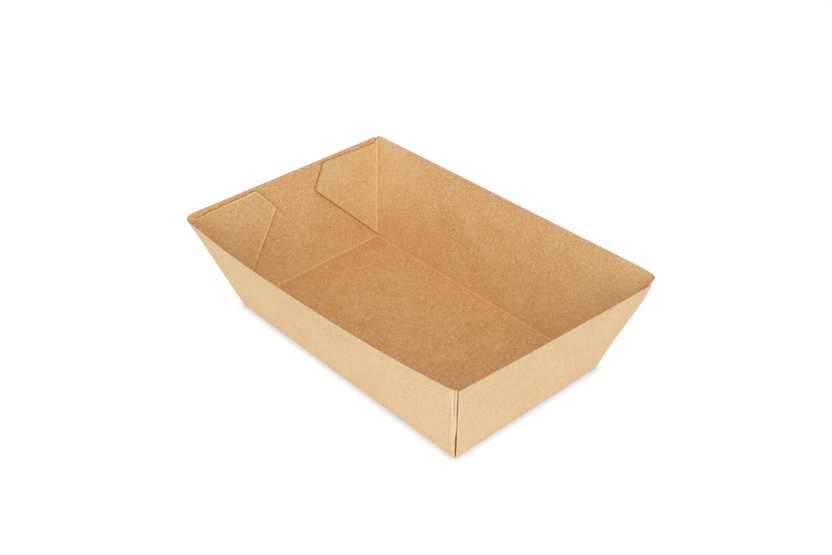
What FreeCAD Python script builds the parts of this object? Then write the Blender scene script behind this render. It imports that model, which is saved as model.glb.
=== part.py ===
import FreeCAD, Part
import math
import os

# Open tray folded from one die-cut blank of kraft board. All sizes are in millimetres.
# X runs along the long walls, Y along the end walls and Z up, and the origin is the middle of
# the underside of the base. Each long wall carries a glue flap at both ends. The flaps stand
# inside the end walls and are glued to their inner faces.

# Outer size of the tray, to the sharp corners of its outer faces.
rim_length = 180.0
rim_width = 120.0
base_length = 150.0
base_width = 90.0
height = 50.0

# Board and folds.
board = 0.45
fold_inner_radius = 0.3

# The long wall at -Y bulges outwards between its corners, and its rim sinks as it leans out.
front_bow = 4.5
front_dip = 1.4

# Glue flap in the plane of the end wall: reach from the corner line, drop from the rim.
flap_start_reach = 2.0
flap_start_drop = 1.0
flap_step_reach = 4.2
flap_step_drop = 2.6
flap_top_reach = 38.8
flap_top_drop = 1.4
flap_tip_reach = 44.2
flap_tip_drop = 13.7
flap_foot_rise = 0.75
flap_foot_web = 0.5

# Side edges of the end wall: they clear the corner fold, and step in further towards the rim.
edge_clearance = 0.05
edge_step = 1.1
edge_step_drop = 15.0
edge_step_run = 18.0
end_corner_radius = 1.5

# Overlap of the shapes that cut and join, and how near an edge lies to be the one meant.
# Neither leaves a trace on the tray.
overlap = 6.0
near_enough = 0.01

# Sizes that follow from the values above.
end_flare = (rim_length - base_length) / 2
side_flare = (rim_width - base_width) / 2
end_slant = math.hypot(height, end_flare)
side_slant = math.hypot(height, side_flare)
end_board_run = board * end_slant / height
side_board_run = board * side_slant / height
fold_outer_radius = fold_inner_radius + board
corner_lean = side_flare / end_slant
corner_turn = math.acos(end_flare * side_flare / (end_slant * side_slant))
fold_reach = fold_outer_radius * math.tan(corner_turn / 2) * math.hypot(1, corner_lean)
edge_inset = fold_reach + edge_clearance
top = height + overlap


def half_size(base, rim, z):
    """Half size at height z of a pair of outer faces that lean out from the base to the rim."""
    return (base + (rim - base) * z / height) / 2


def rectangle(half_x, half_y, z):
    """Four corners of a level rectangle, from the -X -Y corner round by +X."""
    signs = [(-1, -1), (1, -1), (1, 1), (-1, 1)]
    return [FreeCAD.Vector(sx * half_x, sy * half_y, z) for sx, sy in signs]


def line(start, end):
    return Part.LineSegment(start, end).toShape()


def flared_block(end_inset, side_inset, floor):
    """Solid flaring from the floor up past the rim, its faces set in from the outer ones."""
    low = rectangle(
        half_size(base_length, rim_length, floor) - end_inset,
        half_size(base_width, rim_width, floor) - side_inset,
        floor,
    )
    high = rectangle(
        half_size(base_length, rim_length, top) - end_inset,
        half_size(base_width, rim_width, top) - side_inset,
        top,
    )
    low_edges = [line(low[i], low[(i + 1) % 4]) for i in range(4)]
    high_edges = [line(high[i], high[(i + 1) % 4]) for i in range(4)]
    corner_edges = [line(low[i], high[i]) for i in range(4)]
    if front_bow > 0:
        crown = FreeCAD.Vector(0, high[0].y - front_bow * top / height, top)
        high_edges[0] = Part.Arc(high[0], crown, high[1]).toShape()
    faces = [Part.Face(Part.Wire(high_edges)), Part.Face(Part.Wire(low_edges))]
    for i in range(4):
        if i == 0 and front_bow > 0:
            faces.append(Part.makeRuledSurface(low_edges[i], high_edges[i]))
        else:
            side = [low_edges[i], corner_edges[(i + 1) % 4], high_edges[i], corner_edges[i]]
            faces.append(Part.Face(Part.Wire(Part.__sortEdges__(side))))
    shell = Part.makeShell(faces)
    shell.sewShape()
    facing_out = Part.makeSolid(shell).Shells[0]
    return Part.Solid(facing_out)


def rounded_block(end_inset, side_inset, floor, radius):
    """The flared solid with its corner folds and base folds rounded."""
    block = flared_block(end_inset, side_inset, floor)
    folds = [edge for edge in block.Edges if min(v.Point.z for v in edge.Vertexes) < height / 2]
    return block.makeFillet(radius, folds)


def folded_shell():
    """Board along the base and round all four sides, where the ends lie inside the end walls."""
    outer = rounded_block(end_board_run, 0.0, 0.0, fold_outer_radius)
    inner = rounded_block(2 * end_board_run, side_board_run, board, fold_inner_radius)
    return outer.cut(inner)


def end_wedge(end_inset, floor, radius):
    """Solid behind the sloping +X outer face, with its base fold rounded."""
    foot = half_size(base_length, rim_length, floor) - end_inset
    head = half_size(base_length, rim_length, top) - end_inset
    back = base_length / 2 - 2 * overlap
    profile = [
        FreeCAD.Vector(back, -rim_width, floor),
        FreeCAD.Vector(foot, -rim_width, floor),
        FreeCAD.Vector(head, -rim_width, top),
        FreeCAD.Vector(back, -rim_width, top),
    ]
    face = Part.Face(Part.makePolygon(profile + profile[:1]))
    wedge = face.extrude(FreeCAD.Vector(0, 2 * rim_width, 0))
    fold_middle = FreeCAD.Vector(foot, 0, floor)
    fold = [edge for edge in wedge.Edges if edge.CenterOfMass.distanceToPoint(fold_middle) < near_enough]
    return wedge.makeFillet(radius, fold)


def end_point(y, rise, depth):
    """Point by its place across and up the +X outer face, and its depth behind that face."""
    x = base_length / 2 + (rise * end_flare - depth * height) / end_slant
    z = (rise * height + depth * end_flare) / end_slant
    return FreeCAD.Vector(x, y, z)


def corner_point(reach, rise):
    """Across and up the end wall, from the reach inwards of the corner line."""
    return base_width / 2 + corner_lean * rise - reach, rise


def end_prism(half_outline, near, far):
    """Prism square to the +X outer face, on an outline given for its +Y half only."""
    outline = half_outline + [(-y, rise) for y, rise in reversed(half_outline)]
    points = [end_point(y, rise, near) for y, rise in outline]
    face = Part.Face(Part.makePolygon(points + points[:1]))
    return face.extrude(end_point(0, 0, far) - end_point(0, 0, near))


def flap_clearing():
    """The space that the blank leaves between the two glue flaps of the +X end."""
    foot_reach = edge_inset + flap_foot_web
    tip_rise = end_slant - flap_tip_drop
    foot_slope = (tip_rise - flap_foot_rise) / flap_tip_reach
    half = [
        corner_point(foot_reach, -2 * fold_outer_radius),
        corner_point(foot_reach, flap_foot_rise + foot_slope * foot_reach),
        corner_point(flap_tip_reach, tip_rise),
        corner_point(flap_top_reach, end_slant - flap_top_drop),
        corner_point(flap_step_reach, end_slant - flap_step_drop),
        corner_point(flap_start_reach, end_slant - flap_start_drop),
        corner_point(flap_start_reach, end_slant + overlap),
    ]
    return end_prism(half, -overlap, 2 * fold_outer_radius)


def end_wall():
    """The +X end wall, its base fold and the strip of base that it grows from."""
    rim_inset = edge_inset + edge_step
    foot = base_width / 2 - edge_inset
    half = [
        (foot, -overlap),
        (foot, 0.0),
        corner_point(edge_inset, end_slant - edge_step_drop - edge_step_run),
        corner_point(rim_inset, end_slant - edge_step_drop),
        corner_point(rim_inset, end_slant),
    ]
    blank = end_prism(half, -overlap, overlap)
    rim_corners = [
        edge for edge in blank.Edges
        if abs(edge.Length - 2 * overlap) < near_enough
        and min(v.Point.z for v in edge.Vertexes) > height - overlap
    ]
    blank = blank.makeFillet(end_corner_radius, rim_corners)
    outer = end_wedge(0.0, 0.0, fold_outer_radius)
    inner = end_wedge(end_board_run, board, fold_inner_radius)
    return outer.cut(inner).common(blank)


def mirrored(shape):
    """The same shape at the -X end."""
    return shape.mirror(FreeCAD.Vector(0, 0, 0), FreeCAD.Vector(1, 0, 0))


def above_rim():
    """Everything above the level rim."""
    box = Part.makeBox(2 * rim_length, 2 * rim_width, 2 * overlap)
    box.translate(FreeCAD.Vector(-rim_length, -rim_width, height))
    return box


def above_dip():
    """Sliver cut off the bulged wall, whose rim sinks in a shallow arc between its corner folds."""
    half = rim_length / 2 - end_board_run - fold_reach
    left = FreeCAD.Vector(-half, -rim_width, height)
    low = FreeCAD.Vector(0, -rim_width, height - front_dip)
    right = FreeCAD.Vector(half, -rim_width, height)
    rise = FreeCAD.Vector(0, 0, overlap)
    dip = Part.Arc(left, low, right).toShape()
    outline = [dip, line(right, right + rise), line(right + rise, left + rise), line(left + rise, left)]
    face = Part.Face(Part.Wire(outline))
    return face.extrude(FreeCAD.Vector(0, rim_width, 0))


def tray():
    """The folded and glued blank as one solid."""
    clearing = flap_clearing()
    wall = end_wall()
    body = folded_shell().cut([clearing, mirrored(clearing)])
    body = body.fuse([wall, mirrored(wall)])
    body = body.cut(above_rim())
    if front_dip > 0:
        body = body.cut(above_dip())
    return body.removeSplitter().Solids[0]


os.makedirs("parts", exist_ok=True)
tray().exportStep("parts/tray.step")
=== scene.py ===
import math
import bpy
import numpy as np
from mathutils import Matrix, Vector


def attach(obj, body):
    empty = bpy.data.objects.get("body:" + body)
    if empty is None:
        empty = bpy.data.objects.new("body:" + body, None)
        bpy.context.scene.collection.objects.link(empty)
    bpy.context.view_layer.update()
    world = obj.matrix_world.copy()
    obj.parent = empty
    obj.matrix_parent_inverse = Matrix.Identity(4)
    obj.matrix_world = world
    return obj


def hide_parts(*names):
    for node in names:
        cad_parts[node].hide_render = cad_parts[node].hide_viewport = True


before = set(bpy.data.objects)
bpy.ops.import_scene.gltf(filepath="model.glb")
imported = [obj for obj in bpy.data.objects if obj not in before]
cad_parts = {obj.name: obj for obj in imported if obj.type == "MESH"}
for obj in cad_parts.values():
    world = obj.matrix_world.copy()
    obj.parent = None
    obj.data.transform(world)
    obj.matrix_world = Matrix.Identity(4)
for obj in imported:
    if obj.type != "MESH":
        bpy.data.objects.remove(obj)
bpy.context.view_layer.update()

# Kraft board tray. Sizes are in millimetres and become metres when the mesh is made.
# X runs along the long walls, Y along the end walls, Z up, origin under the middle of the base.
MM = 0.001

RIM_HALF = (90.0, 60.0)
BASE_HALF = (75.0, 45.0)
HEIGHT = 50.0
BOARD = 0.45
FOLD_RADIUS = 0.75
GLUE_GAP = 0.05

# Corners, by the sign of X and the sign of Y.
LEFT = (-1, -1)
BACK = (-1, 1)
RIGHT = (1, 1)
FRONT = (1, -1)

# How far the real tray's corners lie from the ideal ones.
RIM_SHIFT = {
    LEFT: (-0.95, -1.85, 0.2),
    BACK: (0.01, -1.02, -0.56),
    RIGHT: (1.8, 2.1, 0.9),
    FRONT: (-2.17, 1.45, 0.5),
}
BASE_SHIFT = {
    LEFT: (0.73, 0.43, 0.0),
    BACK: (-0.69, -0.06, 0.0),
    RIGHT: (0.87, -0.29, 0.0),
    FRONT: (0.85, -1.45, 0.0),
}
# How far the end walls' rims stand away from the corner folds beside them.
END_WALL_LEAN = {
    FRONT: (0.75, 0.0, 0.4),
    RIGHT: (0.9, 0.0, -1.35),
    LEFT: (0.0, 0.0, 0.25),
}
FRONT_BOW = 4.0
FRONT_DIP = 1.4
FRONT_CROWN = -0.10
FRONT_BLUNT = (2.6, 2.4)
RIGHT_BOW = 0.5
# Extra radius of the corner folds at the rim, beyond that of the other folds. It grows with this power
# of the height, and fades out on the flap.
RIM_ROUNDING = {LEFT: 0.7, BACK: 0.0, RIGHT: 2.0, FRONT: 0.6}
RIM_ROUNDING_GROWTH = 1.5
RIM_ROUNDING_FADE = 8.0
# Soft dips of the long walls' rims near a corner: (depth, distance from the corner, reach). They grow
# with this power of the height.
RIM_DIPS = {LEFT: (0.9, 5.0, 5.0), RIGHT: (0.8, 0.0, 6.0)}
RIM_DIP_GROWTH = 5

# Glue flaps in the end wall's plane: (reach from the corner line, drop from the rim). The foot is
# (reach past the corner fold, rise from the base).
FLAP_START = (2.0, 1.0)
FLAP_STEP = (4.2, 2.6)
FLAP_TOP = (38.8, 1.4)
FLAP_TIP = (44.2, 13.7)
FLAP_FOOT = (0.6, 0.75)
FLAP_STRETCH = {BACK: -0.8, LEFT: 0.8, RIGHT: 0.0, FRONT: 0.0}
# The flaps are glued down as far as this, and lift beyond it, less at mid height than at their edges.
FLAP_HELD = 12.0
FLAP_LIFT = {BACK: 0.55, LEFT: 0.5, RIGHT: 0.35, FRONT: 0.35}
FLAP_MIDDLE_LIFT = 0.55
# From this reach on a flap keeps fully to its end wall.
FLAP_HOLD = 15.0
# The flaps' inner faces are painted paler, as painted light. Their edges have a dark line of painted
# shade of this width, where they stand off the end wall, and a painted highlight this far inside it.
FLAP_PAINTED_LIGHT = 0.18
FLAP_LINE = 0.25
FLAP_PALE_LINE = 0.75
FLAP_LINE_START = (1.0, 2.0)
FLAP_EDGE_SHADE = {BACK: 1.0, LEFT: 1.0, RIGHT: 0.5, FRONT: 0.5}
FLAP_EDGE_LIGHT = {BACK: 0.2, LEFT: 1.0, RIGHT: 0.4, FRONT: 0.4}
# Toward their corner folds the back flap is painted paler, as painted light, and the others darker, as
# painted shade.
FLAP_ROOT_PALE = {BACK: 0.15, LEFT: 0.0, RIGHT: 0.0, FRONT: 0.0}
FLAP_ROOT_SHADE = {BACK: 0.0, LEFT: 0.12, RIGHT: 0.1, FRONT: 0.1}
FLAP_ROOT_REACH = 25.0
# The back long wall's inner face is painted paler, as painted light, high up by the back corner, and a
# little at its right end.
WALL_TOP_PALE = 0.45
WALL_TOP_REACH = 0.12
WALL_END_PALE = 0.15
WALL_END_REACH = 0.2

# Side edges of the end walls, in from the corner line.
EDGE_INSET_BASE = 0.75
EDGE_INSET_RIM = 1.9
EDGE_INSET_RIGHT = 2.6
EDGE_STEP_DROP = 15.0
EDGE_STEP_RUN = 18.0
EDGE_INSET_FRONT = 0.85
# At the right the end wall's top corner is cut back, by this much over this drop.
TAPER_INSET = 3.0
TAPER_DROP = 9.0
END_CORNER_RADIUS = {LEFT: 1.5, BACK: 1.5, RIGHT: 1.5, FRONT: 0.5}

# Slit between the front corner fold and the end wall: (share of the height, depth). It sets in part of
# the way round the fold, and fades out on the flap.
SLIT = (
    (0.0, 0.0), (0.08, 0.4), (0.3, 0.3), (0.42, -0.4),
    (0.5, -0.4), (0.65, -0.1), (0.85, -0.2), (1.0, -0.4),
)
SLIT_START = 0.5
SLIT_FADE = 6.0
# Painted shade on the front flap's outer face, seen in the slit, fades out between these reaches.
SLIT_SHADE_FADE = (1.5, 4.5)
# Valley pressed into the front corner fold: depth, place and width round the fold, and where it starts.
VALLEY_DEPTH = 0.2
VALLEY_PLACE = (0.35, 0.13)
VALLEY_START = (0.45, 0.75)
# How dark the valley is painted, as painted shade.
VALLEY_SHADE = 0.5
# Pale line down the outside of each corner fold, partly worn crease and partly painted highlight: place and
# width round the fold.
FOLD_LINE = (0.65, 0.12)
# Painted highlight on the inner face of the rounded corners where the corner folds meet the base.
FOOT_CORNER_PALE = 0.8
# Painted highlights on the outside beside the corner folds: on the long walls as a share of the half
# length, on the end walls as a place and width from the edge.
LONG_WALL_LINE = 0.008
END_WALL_LINE = (0.3, 0.3)
# Painted shade on the corner folds where they pass under the end walls, and where it starts round them.
FOLD_SHADE = {LEFT: 0.0, BACK: 0.0, RIGHT: 0.2, FRONT: 1.0}
FOLD_SHADE_START = 0.8
# Painted shade along the end walls' side edges, beside the gap to the flaps, and along the rims.
SIDE_EDGE_SHADE = 0.2
RIM_SHADE = 0.2

# Beads of the creases: how far they stand out on the inner face, and press in the outer one.
BEAD_IN = 0.3
BEAD_OUT = 0.1
BASE_BEAD = 0.3
# The back corner's bead runs on its flap, this far from the corner line, and is painted paler as a painted
# highlight.
BACK_BEAD_REACH = 1.7
BACK_BEAD_WIDTH = 0.35

# The end walls' inner faces are painted paler by their base folds, as painted light, from part of the way
# round them, and have a painted highlight on the bead there, given as strength and width. The base beside
# them is darker with painted shade.
FOOT_PALE = 0.24
FOOT_REACH = 12.0
FOOT_BEAD = (0.35, 0.8)
FOOT_PALE_START = (0.5, 0.8)
BASE_SHADE = 0.14
BASE_SHADE_REACH = 12.0

FLARE = (RIM_HALF[0] - BASE_HALF[0], RIM_HALF[1] - BASE_HALF[1])
SLANT = (math.hypot(HEIGHT, FLARE[0]), math.hypot(HEIGHT, FLARE[1]))

TINY = 1e-6
PLACE_DIGITS = 6


def unit(v):
    v = np.asarray(v, float)
    return v / np.linalg.norm(v)


def turned(a, b, t):
    """Unit vector part of the way round from a to b."""
    angle = math.acos(max(-1.0, min(1.0, float(np.dot(a, b)))))
    if angle < TINY:
        return a
    return (math.sin((1 - t) * angle) * a + math.sin(t * angle) * b) / math.sin(angle)


def smooth(t):
    t = min(1.0, max(0.0, t))
    return t * t * (3 - 2 * t)


def grown(x, start, stop):
    """0 up to start, 1 from stop, smooth between them."""
    return smooth((x - start) / (stop - start))


def faded(x, start, stop):
    """1 up to start, 0 from stop, smooth between them."""
    return 1 - grown(x, start, stop)


def blend_line(x, points):
    """Straight-line interpolation through (x, y) points."""
    return float(np.interp(x, [p[0] for p in points], [p[1] for p in points]))


DOWN = np.array((0.0, 0.0, -1.0))


def long_normal(side):
    return np.array((0.0, side * HEIGHT, -FLARE[1])) / SLANT[1]


def end_normal(end):
    return np.array((end * HEIGHT, 0.0, -FLARE[0])) / SLANT[0]


def meet(*planes):
    """Point on three planes, each given as (unit normal, distance from the origin)."""
    return np.linalg.solve(np.array([p[0] for p in planes]), np.array([p[1] for p in planes]))


def level(z):
    return (np.array((0.0, 0.0, 1.0)), z)


def base_plane(depth=FOLD_RADIUS):
    return (DOWN, -depth)


def long_plane(side, depth=FOLD_RADIUS):
    return (long_normal(side), BASE_HALF[1] * HEIGHT / SLANT[1] - depth)


def end_plane(end, depth=FOLD_RADIUS):
    return (end_normal(end), BASE_HALF[0] * HEIGHT / SLANT[0] - depth)


class Board:
    """One folded sheet, as places with an outer point, an inner point and marks for the materials."""

    def __init__(self):
        self.outer = []
        self.inner = []
        self.outer_crease_and_painted_light = []
        self.inner_crease_and_painted_light = []
        self.stain = []
        self.quads = []

    def add(self, core, normal, wall, radius=FOLD_RADIUS, hold=1.0, bead=0.0, crease=(0.0, 0.0), stain=0.0):
        """A place at a radius from a point of a fold's or wall's core, facing along the normal."""
        core = np.asarray(core, float)
        normal = np.asarray(normal, float)
        self.outer.append(warped(core + normal * (radius - BEAD_OUT * bead), wall, hold))
        self.inner.append(warped(core + normal * (radius - BOARD - BEAD_IN * bead), wall, hold))
        self.outer_crease_and_painted_light.append(crease[0])
        self.inner_crease_and_painted_light.append(crease[1])
        self.stain.append(stain)
        return len(self.outer) - 1

    def join(self, rows, flip=False):
        """Faces between rows of place numbers."""
        for low, high in zip(rows, rows[1:]):
            for i in range(len(low) - 1):
                corner = [low[i], low[i + 1], high[i + 1], high[i]]
                corner = [c for n, c in enumerate(corner) if c != corner[n - 1]]
                if len(corner) > 2:
                    self.quads.append(corner[::-1] if flip else corner)


def spread(start, stop, step, fine=()):
    """Places from start to stop, about a step apart, with extra ones near both ends."""
    count = max(2, round((stop - start) / step))
    places = set(np.linspace(start, stop, count + 1).round(PLACE_DIGITS))
    for extra in fine:
        places.add(round(start + extra, PLACE_DIGITS))
        places.add(round(stop - extra, PLACE_DIGITS))
    return sorted(places)


ARC_STEPS = 12
GRID_STEP = 2.0
NEAR_EDGE = (0.2, 0.45, 0.7, 0.95, 1.2, 1.6)
RISES = [r / SLANT[1] for r in spread(0.0, SLANT[1], GRID_STEP, NEAR_EDGE)]


def foot_corner(side, end):
    """Middle of the rounded corner where two walls meet the base."""
    return meet(base_plane(), long_plane(side), end_plane(end, FOLD_RADIUS + BOARD + GLUE_GAP))


def rim_corner(side, end):
    """Middle of the corner fold at the rim."""
    top = HEIGHT + (FOLD_RADIUS - BOARD) * FLARE[1] / SLANT[1]
    return meet(level(top), long_plane(side), end_plane(end, FOLD_RADIUS + BOARD + GLUE_GAP))


def rim_rounding(corner, rise):
    """Extra radius of a corner fold at a share of the height."""
    return RIM_ROUNDING[corner] * rise ** RIM_ROUNDING_GROWTH


def corner_core(side, end, rise):
    """Middle of the corner fold at a share of the height, and its radius there."""
    foot = foot_corner(side, end)
    extra = rim_rounding((end, side), rise)
    inward = HEIGHT / SLANT[1] * extra
    core = foot + (rim_corner(side, end) - foot) * rise
    core += np.array((-end * inward, -side * inward, extra * FLARE[1] / SLANT[1]))
    return core, FOLD_RADIUS + extra


def bell(x, middle, width):
    return math.exp(-((x - middle) / width) ** 2)


def slit_depth(corner, rise):
    """How far the front corner fold and its flap stand back from the end wall, or press against it."""
    return blend_line(rise, SLIT) if corner == FRONT else 0.0


def flap_outline(corner):
    """Lower and upper edge of a glue flap as (reach, rise) points."""
    stretch = FLAP_STRETCH[corner]
    tip = (FLAP_TIP[0] + stretch, SLANT[0] - FLAP_TIP[1])
    slope = (tip[1] - FLAP_FOOT[1]) / tip[0]
    foot_reach = EDGE_INSET_BASE + FLAP_FOOT[0]
    lower = [(EDGE_INSET_BASE, 0.0), (foot_reach, FLAP_FOOT[1] + slope * foot_reach), tip]
    upper = [
        (EDGE_INSET_BASE, SLANT[0]),
        (FLAP_START[0], SLANT[0] - FLAP_START[1]),
        (FLAP_STEP[0], SLANT[0] - FLAP_STEP[1]),
        (FLAP_TOP[0] + stretch, SLANT[0] - FLAP_TOP[1]),
        tip,
    ]
    return lower, upper


def gap_to(point, line):
    """Shortest distance from a point to a line through (x, y) points."""
    point = np.array(point)
    gaps = []
    for a, b in zip(line, line[1:]):
        along = np.subtract(b, a)
        share = np.clip(np.dot(point - a, along) / np.dot(along, along), 0.0, 1.0)
        gaps.append(np.linalg.norm(point - a - share * along))
    return min(gaps)


def flap_marks(corner, place, outline):
    """Bead, inner crease and painted light, and painted shade of a flap at a (reach, rise) place."""
    reach = place[0]
    # The back flap's bead, which is also painted paler as a painted highlight.
    ridge = bell(reach, BACK_BEAD_REACH, BACK_BEAD_WIDTH) if corner == BACK else 0.0
    from_edge = min(gap_to(place, edge) for edge in outline)
    # Dark line of painted shade along the flap's edge, where it stands off the end wall.
    line = bell(from_edge, 0.0, FLAP_LINE) * grown(reach, *FLAP_LINE_START)
    # Painted highlight a little inside the flap's edge.
    edge_highlight = bell(from_edge, FLAP_PALE_LINE, FLAP_LINE) * FLAP_EDGE_LIGHT[corner]
    near_root = faded(reach, 0.0, FLAP_ROOT_REACH)
    # Painted light: the flap's face paler, the back flap more so toward its corner fold.
    painted_light = FLAP_PAINTED_LIGHT + FLAP_ROOT_PALE[corner] * near_root
    # Painted shade: on the front flap's outer face where it shows in the slit, toward some flaps' corner
    # folds, and along their edges.
    hidden = faded(reach, *SLIT_SHADE_FADE) if corner == FRONT else 0.0
    stain = max(hidden, FLAP_ROOT_SHADE[corner] * near_root, line * FLAP_EDGE_SHADE[corner])
    return ridge, max(ridge, edge_highlight, painted_light), stain


def flap_lift(corner, reach, tip_reach, share, rise):
    """How far a flap's outer face lies inside the end wall's outer face."""
    free = grown(reach, FLAP_HELD, tip_reach)
    bent = FLAP_MIDDLE_LIFT + (1 - FLAP_MIDDLE_LIFT) * (2 * rise - 1) ** 2
    slit = slit_depth(corner, share) * faded(reach, 0.0, SLIT_FADE)
    return BOARD + GLUE_GAP + FLAP_LIFT[corner] * free * bent + slit


def add_flap(board, side, end, fold_column):
    """Glue flap grown from the end of a long wall, from the places up its corner fold."""
    corner = (end, side)
    lower, upper = flap_outline(corner)
    normal = end_normal(end)
    up = unit((end * FLARE[0], 0.0, HEIGHT))
    tip_reach = upper[-1][0]
    kinks = [round(point[0], PLACE_DIGITS) for point in lower + upper]
    reaches = sorted(set(spread(EDGE_INSET_BASE, tip_reach, GRID_STEP, NEAR_EDGE) + kinks))
    corner_foot = meet(base_plane(0.0), long_plane(side, 0.0), end_plane(end, 0.0))
    columns = [fold_column]
    for reach in reaches[1:]:
        low = blend_line(reach, lower)
        high = blend_line(reach, upper)
        column = []
        for rise in RISES:
            v = low + rise * (high - low)
            share = v / SLANT[0]
            rounding = rim_rounding(corner, share) * faded(reach, 0.0, RIM_ROUNDING_FADE)
            across = np.array((0.0, side * (FLARE[1] * share - reach - rounding), 0.0))
            depth = flap_lift(corner, reach, tip_reach, share, rise) + FOLD_RADIUS
            core = corner_foot + up * v + across - normal * depth
            bead, crease, stain = flap_marks(corner, (reach, v), (lower, upper))
            hold = grown(reach, 0.0, FLAP_HOLD)
            wall = ("end", end)
            column.append(board.add(
                core, normal, wall, hold=hold, bead=bead, crease=(0.0, crease), stain=stain,
            ))
        if high - low < TINY:
            column = [column[0]] * len(column)
        columns.append(column)
    board.join(columns, flip=(side * end < 0))


def long_wall_pale(share, rise):
    """How much the back long wall's inner face is painted paler, as painted light, by the shares of its
    length and of the height.
    """
    high = WALL_TOP_PALE * bell(share, 0.0, WALL_TOP_REACH) * rise
    return high + WALL_END_PALE * bell(share, 1.0, WALL_END_REACH)


def add_long_wall(board, side, base_row, base_xs):
    """Long wall on one side of the base, with its base fold, corner folds and flaps."""
    normal = long_normal(side)
    wall = ("long", side)
    foot = foot_corner(side, 1)
    head = rim_corner(side, 1)
    rows = [base_row]
    for step in range(1, ARC_STEPS + 1):
        t = step / ARC_STEPS
        arch = math.sin(math.pi * t) ** 2
        row = []
        for x in base_xs:
            core = np.array((x, foot[1], foot[2]))
            facing = turned(DOWN, normal, t)
            # Pale line on the base fold's bead, partly worn crease and partly painted highlight.
            row.append(board.add(core, facing, wall, bead=BASE_BEAD * arch, crease=(0.0, arch)))
        rows.append(row)
    for rise in RISES[1:]:
        left, right = [corner_core(side, end, rise)[0][0] for end in (-1, 1)]
        core = foot + (head - foot) * rise
        # A thin line of painted shade along the rim.
        stain = RIM_SHADE if rise == 1.0 else 0.0
        row = []
        for x in base_xs:
            share = (x / foot[0] + 1) / 2
            core[0] = left + (right - left) * share
            # Painted highlight on the outer face by the corner folds; painted light on the back wall's
            # inner face.
            line = bell(abs(2 * share - 1), 1.0, LONG_WALL_LINE)
            pale = long_wall_pale(share, rise) if side > 0 else 0.0
            row.append(board.add(core, normal, wall, crease=(line, pale), stain=stain))
        rows.append(row)
    board.join(rows, flip=(side > 0))
    for end in (-1, 1):
        add_corner_fold(board, side, end, rows)


def add_corner_fold(board, side, end, wall_rows):
    """Rounded fold from the long wall to its flap, rounded off below where it meets the base."""
    corner = (end, side)
    place = -1 if end > 0 else 0
    foot = foot_corner(side, end)
    columns = [[row[place] for row in wall_rows]]
    for step in range(1, ARC_STEPS + 1):
        t = step / ARC_STEPS
        facing = turned(long_normal(side), end_normal(end), t)
        column = [wall_rows[0][place]]
        for low in range(1, ARC_STEPS + 1):
            normal = turned(DOWN, facing, low / ARC_STEPS)
            # Painted highlight on the inner face of the rounded foot corner.
            column.append(board.add(foot, normal, ("corner", corner), crease=(0.0, FOOT_CORNER_PALE)))
        for rise in RISES[1:]:
            core, radius = corner_core(side, end, rise)
            valley = bell(t, *VALLEY_PLACE) * grown(rise, *VALLEY_START) if corner == FRONT else 0.0
            depth = slit_depth(corner, rise) * grown(t, SLIT_START, 1.0) + VALLEY_DEPTH * valley
            # Painted shade in the valley and where the fold passes under the end wall.
            stain = max(VALLEY_SHADE * valley, FOLD_SHADE[corner] * grown(t, FOLD_SHADE_START, 1.0))
            bead = 0.0 if corner == BACK else math.sin(math.pi * t) ** 2
            # Pale line down the fold's outer face, partly worn crease and partly painted highlight.
            pale = bell(t, *FOLD_LINE)
            wall = ("corner", corner)
            column.append(board.add(
                core, facing, wall, radius - depth, bead=bead, crease=(pale, 0.0), stain=stain,
            ))
        columns.append(column)
    board.join(columns, flip=(side * end < 0))
    add_flap(board, side, end, columns[-1][ARC_STEPS:])


def edge_inset(corner, rise):
    """How far the end wall's side edge lies in from the corner line, by height up the slope."""
    step_top = SLANT[0] - EDGE_STEP_DROP
    step_foot = step_top - EDGE_STEP_RUN
    points = [(0.0, EDGE_INSET_BASE), (step_foot, EDGE_INSET_BASE), (step_top, EDGE_INSET_RIM)]
    if corner == FRONT:
        points = [(0.0, EDGE_INSET_BASE), (step_top, EDGE_INSET_FRONT)]
    if corner == RIGHT:
        points = [
            (0.0, EDGE_INSET_BASE),
            (step_foot, EDGE_INSET_RIGHT),
            (SLANT[0] - TAPER_DROP, EDGE_INSET_RIGHT),
            (SLANT[0], EDGE_INSET_RIGHT + TAPER_INSET),
        ]
    return blend_line(rise, points)


def end_half_width(corner, rise):
    """Half width of an end wall toward a corner, at a share of the height."""
    return BASE_HALF[1] + FLARE[1] * rise - edge_inset(corner, rise * SLANT[0])


def rounded_rise(rise, from_edge, radius):
    """Share of the height near an end wall's side edge, where its top corner is rounded."""
    short = max(0.0, radius - from_edge)
    cut = radius - math.sqrt(radius ** 2 - short ** 2)
    return rise * (1 - cut / SLANT[0])


def foot_light(above):
    """How much an end wall's inner face is painted paler, as painted light, at a distance above its base
    fold, with a painted highlight on its bead.
    """
    strength, width = FOOT_BEAD
    return FOOT_PALE * math.exp(-above / FOOT_REACH) + strength * bell(above, 0.0, width)


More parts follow.
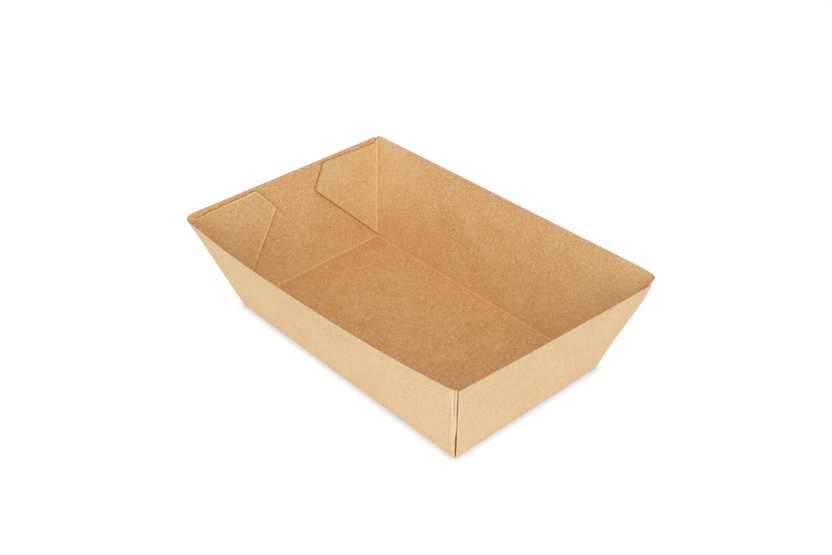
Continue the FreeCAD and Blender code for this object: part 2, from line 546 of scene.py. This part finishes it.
def add_end_wall(board, end, base_column, base_ys):
    """End wall with its base fold. Its top corners are rounded."""
    normal = end_normal(end)
    middle = (np.array((0.0, 1.0, 0.0)), 0.0)
    foot = meet(base_plane(), end_plane(end), middle)
    top = HEIGHT + (FOLD_RADIUS - BOARD) * FLARE[0] / SLANT[0]
    head = meet(level(top), end_plane(end), middle)
    wall = ("end", end)
    rows = [base_column]
    for step in range(1, ARC_STEPS + 1):
        t = step / ARC_STEPS
        arch = math.sin(math.pi * t) ** 2
        facing = turned(DOWN, normal, t)
        # Painted light and a painted highlight on the bead, on the inner face of the base fold.
        pale = (0.0, foot_light(0.0) * grown(t, *FOOT_PALE_START))
        row = []
        for y in base_ys:
            core = foot + np.array((0, y, 0))
            row.append(board.add(core, facing, wall, bead=BASE_BEAD * arch, crease=pale))
        rows.append(row)
    for rise in RISES[1:]:
        widths = {side: end_half_width((end, side), rise) for side in (-1, 1)}
        pale = foot_light(rise * SLANT[0])
        row = []
        for y in base_ys:
            share = y / base_ys[-1]
            side = 1 if share > 0 else -1
            from_edge = widths[side] * (1 - abs(share))
            reached = rounded_rise(rise, from_edge, END_CORNER_RADIUS[(end, side)])
            core = foot + (head - foot) * reached + np.array((0, share * widths[side], 0))
            # Painted shade along the rim and the side edges; a painted highlight on the outer face near the
            # side edges.
            stain = RIM_SHADE if rise == 1.0 else 0.0
            if from_edge < TINY:
                stain = max(stain, SIDE_EDGE_SHADE)
            line = bell(from_edge, *END_WALL_LINE)
            row.append(board.add(core, normal, wall, crease=(line, pale), stain=stain))
        rows.append(row)
    board.join(rows, flip=(end < 0))


def add_base(board):
    """Flat base. Returns the places of its columns and rows, for the walls to grow from."""
    foot = foot_corner(1, 1)
    end_foot = meet(base_plane(), end_plane(1), (np.array((0.0, 1.0, 0.0)), 0.0))
    xs = spread(-foot[0], foot[0], GRID_STEP, NEAR_EDGE)
    ys = spread(-foot[1], foot[1], GRID_STEP, NEAR_EDGE)
    all_xs = [-end_foot[0]] + xs + [end_foot[0]]
    rows = []
    for y in ys:
        row = []
        for x in all_xs:
            # Painted shade on the base beside the end walls' folds.
            stain = BASE_SHADE * bell(all_xs[-1] - abs(x), 0.0, BASE_SHADE_REACH)
            row.append(board.add((x, y, FOLD_RADIUS), DOWN, ("base", 0), stain=stain))
        rows.append(row)
    board.join(rows, flip=True)
    return xs, ys, rows


def corner_mix(point):
    """Weights of the four corners and the share of the height for a point of the tray."""
    share = point[2] / HEIGHT
    weights = {}
    sx = np.clip(point[0] / (BASE_HALF[0] + FLARE[0] * share), -1, 1)
    sy = np.clip(point[1] / (BASE_HALF[1] + FLARE[1] * share), -1, 1)
    for ex in (-1, 1):
        for ey in (-1, 1):
            weights[(ex, ey)] = (1 + ex * sx) * (1 + ey * sy) / 4
    return weights, share, sx, sy


def crown(s, peak, blunt):
    """Arch of height 1 over -1 to 1 that stands highest at the peak. Its ends are steeper when blunt."""
    if s > peak:
        return 1 - ((s - peak) / (1 - peak)) ** blunt[1]
    return 1 - ((peak - s) / (1 + peak)) ** blunt[0]


def rim_dip(point, share):
    """How far a long wall's rim sinks near its corners."""
    dip = 0.0
    for corner, (depth, distance, reach) in RIM_DIPS.items():
        if point[1] * corner[1] > 0:
            along = RIM_HALF[0] - point[0] * corner[0]
            dip += depth * bell(along, distance, reach) * max(0.0, share) ** RIM_DIP_GROWTH
    return dip


def warped(point, wall, hold):
    """Where a point of the ideal tray lies on the real one. Hold is how far it keeps to its end wall."""
    weights, share, sx, sy = corner_mix(point)
    kind, which = wall
    moved = np.array(point, float)
    for corner, weight in weights.items():
        rim = np.array(RIM_SHIFT[corner])
        base = np.array(BASE_SHIFT[corner])
        if kind == "end" and corner[0] == which and corner in END_WALL_LEAN:
            rim = rim + hold * np.array(END_WALL_LEAN[corner])
        moved += weight * (base + (rim - base) * share)
    if wall == ("long", -1):
        arch = crown(sx, FRONT_CROWN, FRONT_BLUNT) * share
        moved += np.array((0.0, -FRONT_BOW * arch, -FRONT_DIP * arch * share))
    if wall == ("end", 1):
        moved[0] += RIGHT_BOW * (1 - sy * sy) * share * hold
    if kind in ("long", "corner"):
        moved[2] -= rim_dip(point, share)
    return moved


def tray_board():
    board = Board()
    xs, ys, rows = add_base(board)
    for side, place in ((-1, 0), (1, -1)):
        add_long_wall(board, side, rows[place][1:-1], xs)
        add_end_wall(board, side, [row[place] for row in rows], ys)
    return board


# Places of the three materials on the mesh.
OUTSIDE = 0
INSIDE = 1
CUT_EDGE = 2
SHARP_ANGLE = math.radians(50)


def make_mesh(board, name):
    """Mesh of the board with true thickness: outer face, inner face and cut edges."""
    count = len(board.outer)
    points = np.array(board.outer + board.inner) * MM
    faces = [list(quad) for quad in board.quads]
    kinds = [OUTSIDE] * len(faces)
    faces += [[i + count for i in reversed(quad)] for quad in board.quads]
    kinds += [INSIDE] * len(board.quads)
    directed = {(quad[i - 1], quad[i]) for quad in board.quads for i in range(len(quad))}
    for a, b in sorted(directed):
        if (b, a) not in directed:
            faces.append([b, a, a + count, b + count])
            kinds.append(CUT_EDGE)
    mesh = bpy.data.meshes.new(name)
    mesh.from_pydata([tuple(point) for point in points], [], faces)
    mesh.polygons.foreach_set("material_index", kinds)
    mesh.polygons.foreach_set("use_smooth", [True] * len(faces))
    mesh.set_sharp_from_angle(angle=SHARP_ANGLE)
    # Point marks for the materials: pale creases with painted light, and painted shade.
    marks = {"crease": board.outer_crease_and_painted_light + board.inner_crease_and_painted_light, "stain": board.stain * 2}
    for mark, values in marks.items():
        mesh.attributes.new(mark, "FLOAT", "POINT").data.foreach_set("value", values)
    mesh.validate()
    mesh.update()
    return mesh


class Nodes:
    """Short forms for building a node tree."""

    def __init__(self, tree):
        self.tree = tree

    def link(self, source, socket):
        if isinstance(source, bpy.types.NodeSocket):
            self.tree.links.new(source, socket)
        else:
            socket.default_value = source

    def math(self, operation, first, second=0.0):
        node = self.tree.nodes.new("ShaderNodeMath")
        node.operation = operation
        self.link(first, node.inputs[0])
        self.link(second, node.inputs[1])
        return node.outputs[0]

    def scaled_sum(self, start, *parts):
        """Start, plus each part's distance from one half times its weight."""
        total = start
        for part, weight in parts:
            centred = self.math("SUBTRACT", part, 0.5)
            total = self.math("ADD", self.math("MULTIPLY", centred, weight), total)
        return total

    def between(self, value, low, high):
        """0 below low, 1 above high, smooth between them."""
        node = self.tree.nodes.new("ShaderNodeMapRange")
        node.interpolation_type = "SMOOTHSTEP"
        self.link(value, node.inputs["Value"])
        node.inputs["From Min"].default_value = low
        node.inputs["From Max"].default_value = high
        return node.outputs["Result"]

    def mix(self, share, first, second, blend="MIX"):
        """Mix of two colours. Their sockets have numbers, because several share a name."""
        node = self.tree.nodes.new("ShaderNodeMix")
        node.data_type = "RGBA"
        node.blend_type = blend
        self.link(share, node.inputs[0])
        self.link(first, node.inputs[6])
        self.link(second, node.inputs[7])
        return node.outputs[2]

    def noise(self, place, size, detail=2.0, rough=0.5):
        """Noise from 0 to 1 with features of about this size in millimetres."""
        node = self.tree.nodes.new("ShaderNodeTexNoise")
        self.link(place, node.inputs["Vector"])
        node.inputs["Scale"].default_value = 1.0 / size
        node.inputs["Detail"].default_value = detail
        node.inputs["Roughness"].default_value = rough
        return node

    def turned_and_scaled(self, place, turn, scale):
        node = self.tree.nodes.new("ShaderNodeMapping")
        node.vector_type = "TEXTURE"
        self.link(place, node.inputs["Vector"])
        node.inputs["Rotation"].default_value = turn
        node.inputs["Scale"].default_value = scale
        return node.outputs[0]

    def height(self, place):
        node = self.tree.nodes.new("ShaderNodeSeparateXYZ")
        self.link(place, node.inputs[0])
        return node.outputs["Z"]

    def mark(self, name):
        node = self.tree.nodes.new("ShaderNodeAttribute")
        node.attribute_name = name
        return node.outputs["Fac"]


def millimetres(nodes):
    """The object's own coordinates in millimetres."""
    coordinates = nodes.tree.nodes.new("ShaderNodeTexCoord")
    scale = nodes.tree.nodes.new("ShaderNodeVectorMath")
    scale.operation = "SCALE"
    scale.inputs["Scale"].default_value = 1 / MM
    nodes.link(coordinates.outputs["Object"], scale.inputs[0])
    return scale.outputs[0]


# Paper fibres: how far they curl and over what length, their own length and width, and how many show.
CURL = 1.2
CURL_SIZE = 2.5
FIBRE_LENGTH = 2.8
FIBRE_WIDTH = 0.45
FIBRES_SHOWN = (0.62, 0.74)
# Directions in which the fibres lie, as turns about X, Y and Z.
FIBRE_TURNS = ((0.0, 0.0, 0.35), (0.0, 0.0, 1.45), (0.0, 0.0, 2.45), (0.0, 1.1, 0.6), (1.2, 0.3, 0.9))


def curled(nodes, place):
    """The place, pushed about by soft noise so that straight fibres curl."""
    push = nodes.noise(place, CURL_SIZE, 1.0).outputs["Color"]
    node = nodes.tree.nodes.new("ShaderNodeVectorMath")
    node.operation = "MULTIPLY_ADD"
    nodes.link(push, node.inputs[0])
    node.inputs[1].default_value = (CURL, CURL, CURL)
    nodes.link(place, node.inputs[2])
    return node.outputs[0]


def fibres(nodes, place):
    """Thin curled flecks that lie in several directions, from 0 to 1."""
    total = 0.0
    for turn in FIBRE_TURNS:
        lying = nodes.turned_and_scaled(place, turn, (FIBRE_LENGTH, FIBRE_WIDTH, FIBRE_WIDTH))
        value = nodes.noise(lying, 1.0, 1.0).outputs["Fac"]
        total = nodes.math("MAXIMUM", nodes.between(value, *FIBRES_SHOWN), total)
    return total


# Grain sizes in millimetres, and the tone from dark, 0, to light, 1, that the grain varies about.
CLOUD_SIZE = 15.0
MOTTLE_SIZE = 1.7
FINE_SIZE = 0.5
GRAIN_ROUGHNESS = 0.6
TONE_MIDDLE = 0.40
# Dark dots in the grain.
DOT_SIZE = 1.1
DOTS_SHOWN = (0.66, 0.76)
DOT_STRENGTH = 0.5
DOT_COLOUR = (0.82, 0.62, 0.42)
# Rare dark specks, where the middle of a cell of this size lies on the board.
SPECK_CELL = 11.0
SPECK_EDGE = (0.035, 0.015)
SPECK_STRENGTH = 0.5
SPECK_COLOUR = (0.16, 0.06, 0.02)
# The pale creases and painted highlights are broken up by noise. The painted shade is even.
BREAK_SIZE = 1.6
BREAK_ROUGHNESS = 0.7
BREAKS = (0.22, 0.52)
CREASE_AND_PAINTED_LIGHT_STRENGTH = 0.85
PAINTED_SHADE_COLOUR = (0.52, 0.165, 0.02)
# Heights over which the walls' tint of painted light sets in, and then the rim's.
WALL_TINT_RISE = (BOARD, 3.0)
RIM_TINT_RISE = (0.0, 1.2 * HEIGHT)
NO_TINT = (1.0, 1.0, 1.0)
SPECULAR = 0.2
# How much rougher the mottling makes the board, and the fine grain's share in the bumps.
MOTTLE_ROUGH = 0.2
FINE_BUMP = 0.6
BUMP_STRENGTH = 0.3
BUMP_DEPTH = 0.06 * MM


def tinted(nodes, colour, height, wall_tint, rim_tint):
    """The colour multiplied by a tint of painted light on all walls, and by another toward the rim."""
    colour = nodes.mix(nodes.between(height, *WALL_TINT_RISE), colour, (*wall_tint, 1), "MULTIPLY")
    return nodes.mix(nodes.between(height, *RIM_TINT_RISE), colour, (*rim_tint, 1), "MULTIPLY")


def dotted(nodes, colour, place, strength):
    """The colour with many small brown dots and a few dark specks."""
    dots = nodes.between(nodes.noise(place, DOT_SIZE, 1.0).outputs["Fac"], *DOTS_SHOWN)
    colour = nodes.mix(nodes.math("MULTIPLY", dots, strength), colour, (*DOT_COLOUR, 1), "MULTIPLY")
    cells = nodes.tree.nodes.new("ShaderNodeTexVoronoi")
    nodes.link(place, cells.inputs["Vector"])
    cells.inputs["Scale"].default_value = 1 / SPECK_CELL
    specks = nodes.between(cells.outputs["Distance"], *SPECK_EDGE)
    return nodes.mix(nodes.math("MULTIPLY", specks, SPECK_STRENGTH), colour, (*SPECK_COLOUR, 1))


def marked(nodes, colour, place, crease_and_painted_light_colour):
    """The colour with the mesh's pale creases, its painted light and highlights, and its painted shade."""
    noise = nodes.noise(place, BREAK_SIZE, rough=BREAK_ROUGHNESS).outputs["Fac"]
    unbroken = nodes.between(noise, *BREAKS)
    # Pale creases, painted light and painted highlights.
    crease = nodes.math("MULTIPLY", nodes.mark("crease"), unbroken)
    colour = nodes.mix(nodes.math("MULTIPLY", crease, CREASE_AND_PAINTED_LIGHT_STRENGTH), colour, (*crease_and_painted_light_colour, 1))
    # Painted shade.
    return nodes.mix(nodes.mark("stain"), colour, (*PAINTED_SHADE_COLOUR, 1))


def kraft_material(name, tones, grain, gloss, wall_tint=NO_TINT, rim_tint=NO_TINT):
    """Kraft board with tones for dark, light, and pale creases and painted light, and a grain of clouds,
    mottling, fine grain and fibres."""
    dark, light, crease_and_painted_light_colour = tones
    clouds, mottling, fineness, flecks = grain
    material = bpy.data.materials.new(name)
    material.use_nodes = True
    nodes = Nodes(material.node_tree)
    shader = material.node_tree.nodes["Principled BSDF"]
    place = millimetres(nodes)
    curly = curled(nodes, place)
    cloud = nodes.noise(place, CLOUD_SIZE).outputs["Fac"]
    mottle = nodes.noise(curly, MOTTLE_SIZE, rough=GRAIN_ROUGHNESS).outputs["Fac"]
    fine = nodes.noise(curly, FINE_SIZE, rough=GRAIN_ROUGHNESS).outputs["Fac"]

    tone = nodes.scaled_sum(TONE_MIDDLE, (cloud, clouds), (mottle, mottling), (fine, fineness))
    tone = nodes.math("ADD", tone, nodes.math("MULTIPLY", fibres(nodes, curly), flecks))
    colour = nodes.mix(tone, (*dark, 1), (*light, 1))
    colour = tinted(nodes, colour, nodes.height(place), wall_tint, rim_tint)
    colour = dotted(nodes, colour, place, DOT_STRENGTH * flecks)
    colour = marked(nodes, colour, place, crease_and_painted_light_colour)
    nodes.link(colour, shader.inputs["Base Color"])

    rough = nodes.math("ADD", gloss, nodes.math("MULTIPLY", mottle, MOTTLE_ROUGH))
    nodes.link(rough, shader.inputs["Roughness"])
    shader.inputs["Specular IOR Level"].default_value = SPECULAR

    bump = nodes.tree.nodes.new("ShaderNodeBump")
    bump.inputs["Strength"].default_value = BUMP_STRENGTH
    bump.inputs["Distance"].default_value = BUMP_DEPTH
    relief = nodes.math("ADD", mottle, nodes.math("MULTIPLY", fine, FINE_BUMP))
    nodes.link(relief, bump.inputs["Height"])
    nodes.link(bump.outputs[0], shader.inputs["Normal"])
    return material


# Tones of each face: dark, light, and the pale tone of creases and painted light.
OUTSIDE_TONES = ((0.71, 0.475, 0.225), (0.88, 0.68, 0.46), (0.92, 0.76, 0.56))
INSIDE_TONES = ((0.575, 0.203, 0.028), (0.745, 0.525, 0.262), (0.87, 0.72, 0.43))
EDGE_TONES = ((0.40, 0.19, 0.07), (0.60, 0.35, 0.16), (0.84, 0.62, 0.38))
# How strong the clouds, the mottling, the fine grain and the fibres are.
OUTSIDE_GRAIN = (0.5, 0.8, 1.3, 0.95)
INSIDE_GRAIN = (0.45, 0.4, 1.7, 0.9)
EDGE_GRAIN = (0.35, 0.85, 2.4, 0.3)
# Least roughness of each face.
OUTSIDE_ROUGH = 0.6
INSIDE_ROUGH = 0.7
EDGE_ROUGH = 0.8
# Tints of painted light on the walls and toward the rim: the inner faces paler up the walls and toward
# the rim, the outer faces a little darker toward the rim.
OUTSIDE_TINTS = (NO_TINT, (0.97, 0.96, 0.94))
INSIDE_TINTS = ((1.01, 1.055, 1.07), (1.03, 1.14, 1.28))


def add_tray():
    mesh = make_mesh(tray_board(), "tray_board")
    faces = [
        kraft_material("kraft_outside", OUTSIDE_TONES, OUTSIDE_GRAIN, OUTSIDE_ROUGH, *OUTSIDE_TINTS),
        kraft_material("kraft_inside", INSIDE_TONES, INSIDE_GRAIN, INSIDE_ROUGH, *INSIDE_TINTS),
        kraft_material("kraft_edge", EDGE_TONES, EDGE_GRAIN, EDGE_ROUGH),
    ]
    for material in faces:
        mesh.materials.append(material)
    tray = bpy.data.objects.new("tray_board", mesh)
    bpy.context.scene.collection.objects.link(tray)
    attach(tray, "root")
    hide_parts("tray")
    return tray


# Camera, found from the tray's corners in the photograph.
AZIMUTH = math.radians(46.93)
ELEVATION = math.radians(34.62)
ROLL = math.radians(0.18)
DISTANCE = 633.1
SLIDE = (1.4, -26.9)
FOCAL_PIXELS = 1332.5
PHOTO_WIDTH = 832
SENSOR = 36.0


def add_camera():
    back = Vector((
        math.sin(AZIMUTH) * math.cos(ELEVATION),
        -math.cos(AZIMUTH) * math.cos(ELEVATION),
        math.sin(ELEVATION),
    ))
    level_right = (-back).cross(Vector((0, 0, 1))).normalized()
    level_up = level_right.cross(-back)
    right = math.cos(ROLL) * level_right + math.sin(ROLL) * level_up
    up = math.cos(ROLL) * level_up - math.sin(ROLL) * level_right
    place = (back * DISTANCE + right * SLIDE[0] - up * SLIDE[1]) * MM
    data = bpy.data.cameras.new("camera")
    data.sensor_width = SENSOR
    data.lens = FOCAL_PIXELS / PHOTO_WIDTH * SENSOR
    camera = bpy.data.objects.new("camera", data)
    turn = Matrix((right, up, back)).transposed().to_4x4()
    camera.matrix_world = Matrix.Translation(place) @ turn
    bpy.context.scene.collection.objects.link(camera)
    bpy.context.scene.camera = camera


FLOOR_HALF = 3000.0 * MM
FLOOR_DROP = 0.02 * MM
GROUND_COLOUR = (0.9, 0.9, 0.9, 1)
GROUND_LIT_SHARE = 0.14
GROUND_WHITE = 1.04
CONTACT_REACH = 3.0 * MM
CONTACT_SHADE = 0.5


def floor_material():
    """White ground for the camera, with a soft shadow close to the tray. Other rays see it lit."""
    material = bpy.data.materials.new("white_ground")
    material.use_nodes = True
    material.node_tree.nodes.clear()
    nodes = Nodes(material.node_tree)
    output = nodes.tree.nodes.new("ShaderNodeOutputMaterial")
    lit = nodes.tree.nodes.new("ShaderNodeBsdfDiffuse")
    lit.inputs["Color"].default_value = GROUND_COLOUR
    white = nodes.tree.nodes.new("ShaderNodeEmission")
    path = nodes.tree.nodes.new("ShaderNodeLightPath")
    mix = nodes.tree.nodes.new("ShaderNodeMixShader")
    openness = nodes.tree.nodes.new("ShaderNodeAmbientOcclusion")
    openness.inputs["Distance"].default_value = CONTACT_REACH
    shaded = nodes.math("MULTIPLY", openness.outputs["AO"], CONTACT_SHADE * GROUND_WHITE)
    nodes.link(nodes.math("ADD", shaded, (1 - CONTACT_SHADE) * GROUND_WHITE), white.inputs["Strength"])
    plain = nodes.math("MULTIPLY", path.outputs["Is Camera Ray"], 1 - GROUND_LIT_SHARE)
    nodes.link(plain, mix.inputs["Fac"])
    nodes.link(lit.outputs[0], mix.inputs[1])
    nodes.link(white.outputs[0], mix.inputs[2])
    nodes.link(mix.outputs[0], output.inputs["Surface"])
    return material


def add_floor():
    h = FLOOR_HALF
    mesh = bpy.data.meshes.new("floor")
    z = -FLOOR_DROP
    mesh.from_pydata([(-h, -h, z), (h, -h, z), (h, h, z), (-h, h, z)], [], [(0, 1, 2, 3)])
    mesh.materials.append(floor_material())
    floor = bpy.data.objects.new("floor", mesh)
    bpy.context.scene.collection.objects.link(floor)


SKY_STRENGTH = 0.62
LAMP_STRENGTH = 1.7
LAMP_SPREAD = math.radians(75)
LAMP_AZIMUTH = math.radians(45)
LAMP_ELEVATION = math.radians(38)


def add_sky():
    """Even pale sky for the object, plain white where the camera sees it."""
    world = bpy.data.worlds.new("studio")
    world.use_nodes = True
    nodes = Nodes(world.node_tree)
    background = world.node_tree.nodes["Background"]
    path = nodes.tree.nodes.new("ShaderNodeLightPath")
    seen = nodes.math("MULTIPLY", path.outputs["Is Camera Ray"], 1 - SKY_STRENGTH)
    background.inputs["Color"].default_value = (1, 1, 1, 1)
    nodes.link(nodes.math("ADD", seen, SKY_STRENGTH), background.inputs["Strength"])
    bpy.context.scene.world = world


def add_lamp():
    """Broad soft light from beside the camera."""
    data = bpy.data.lights.new("soft_lamp", "SUN")
    data.energy = LAMP_STRENGTH
    data.angle = LAMP_SPREAD
    lamp = bpy.data.objects.new("soft_lamp", data)
    toward = Vector((
        math.sin(LAMP_AZIMUTH) * math.cos(LAMP_ELEVATION),
        -math.cos(LAMP_AZIMUTH) * math.cos(LAMP_ELEVATION),
        math.sin(LAMP_ELEVATION),
    ))
    lamp.rotation_euler = toward.to_track_quat("Z", "Y").to_euler()
    bpy.context.scene.collection.objects.link(lamp)


add_tray()
add_camera()
add_floor()
add_sky()
add_lamp()
bpy.context.scene.view_settings.view_transform = "Standard"
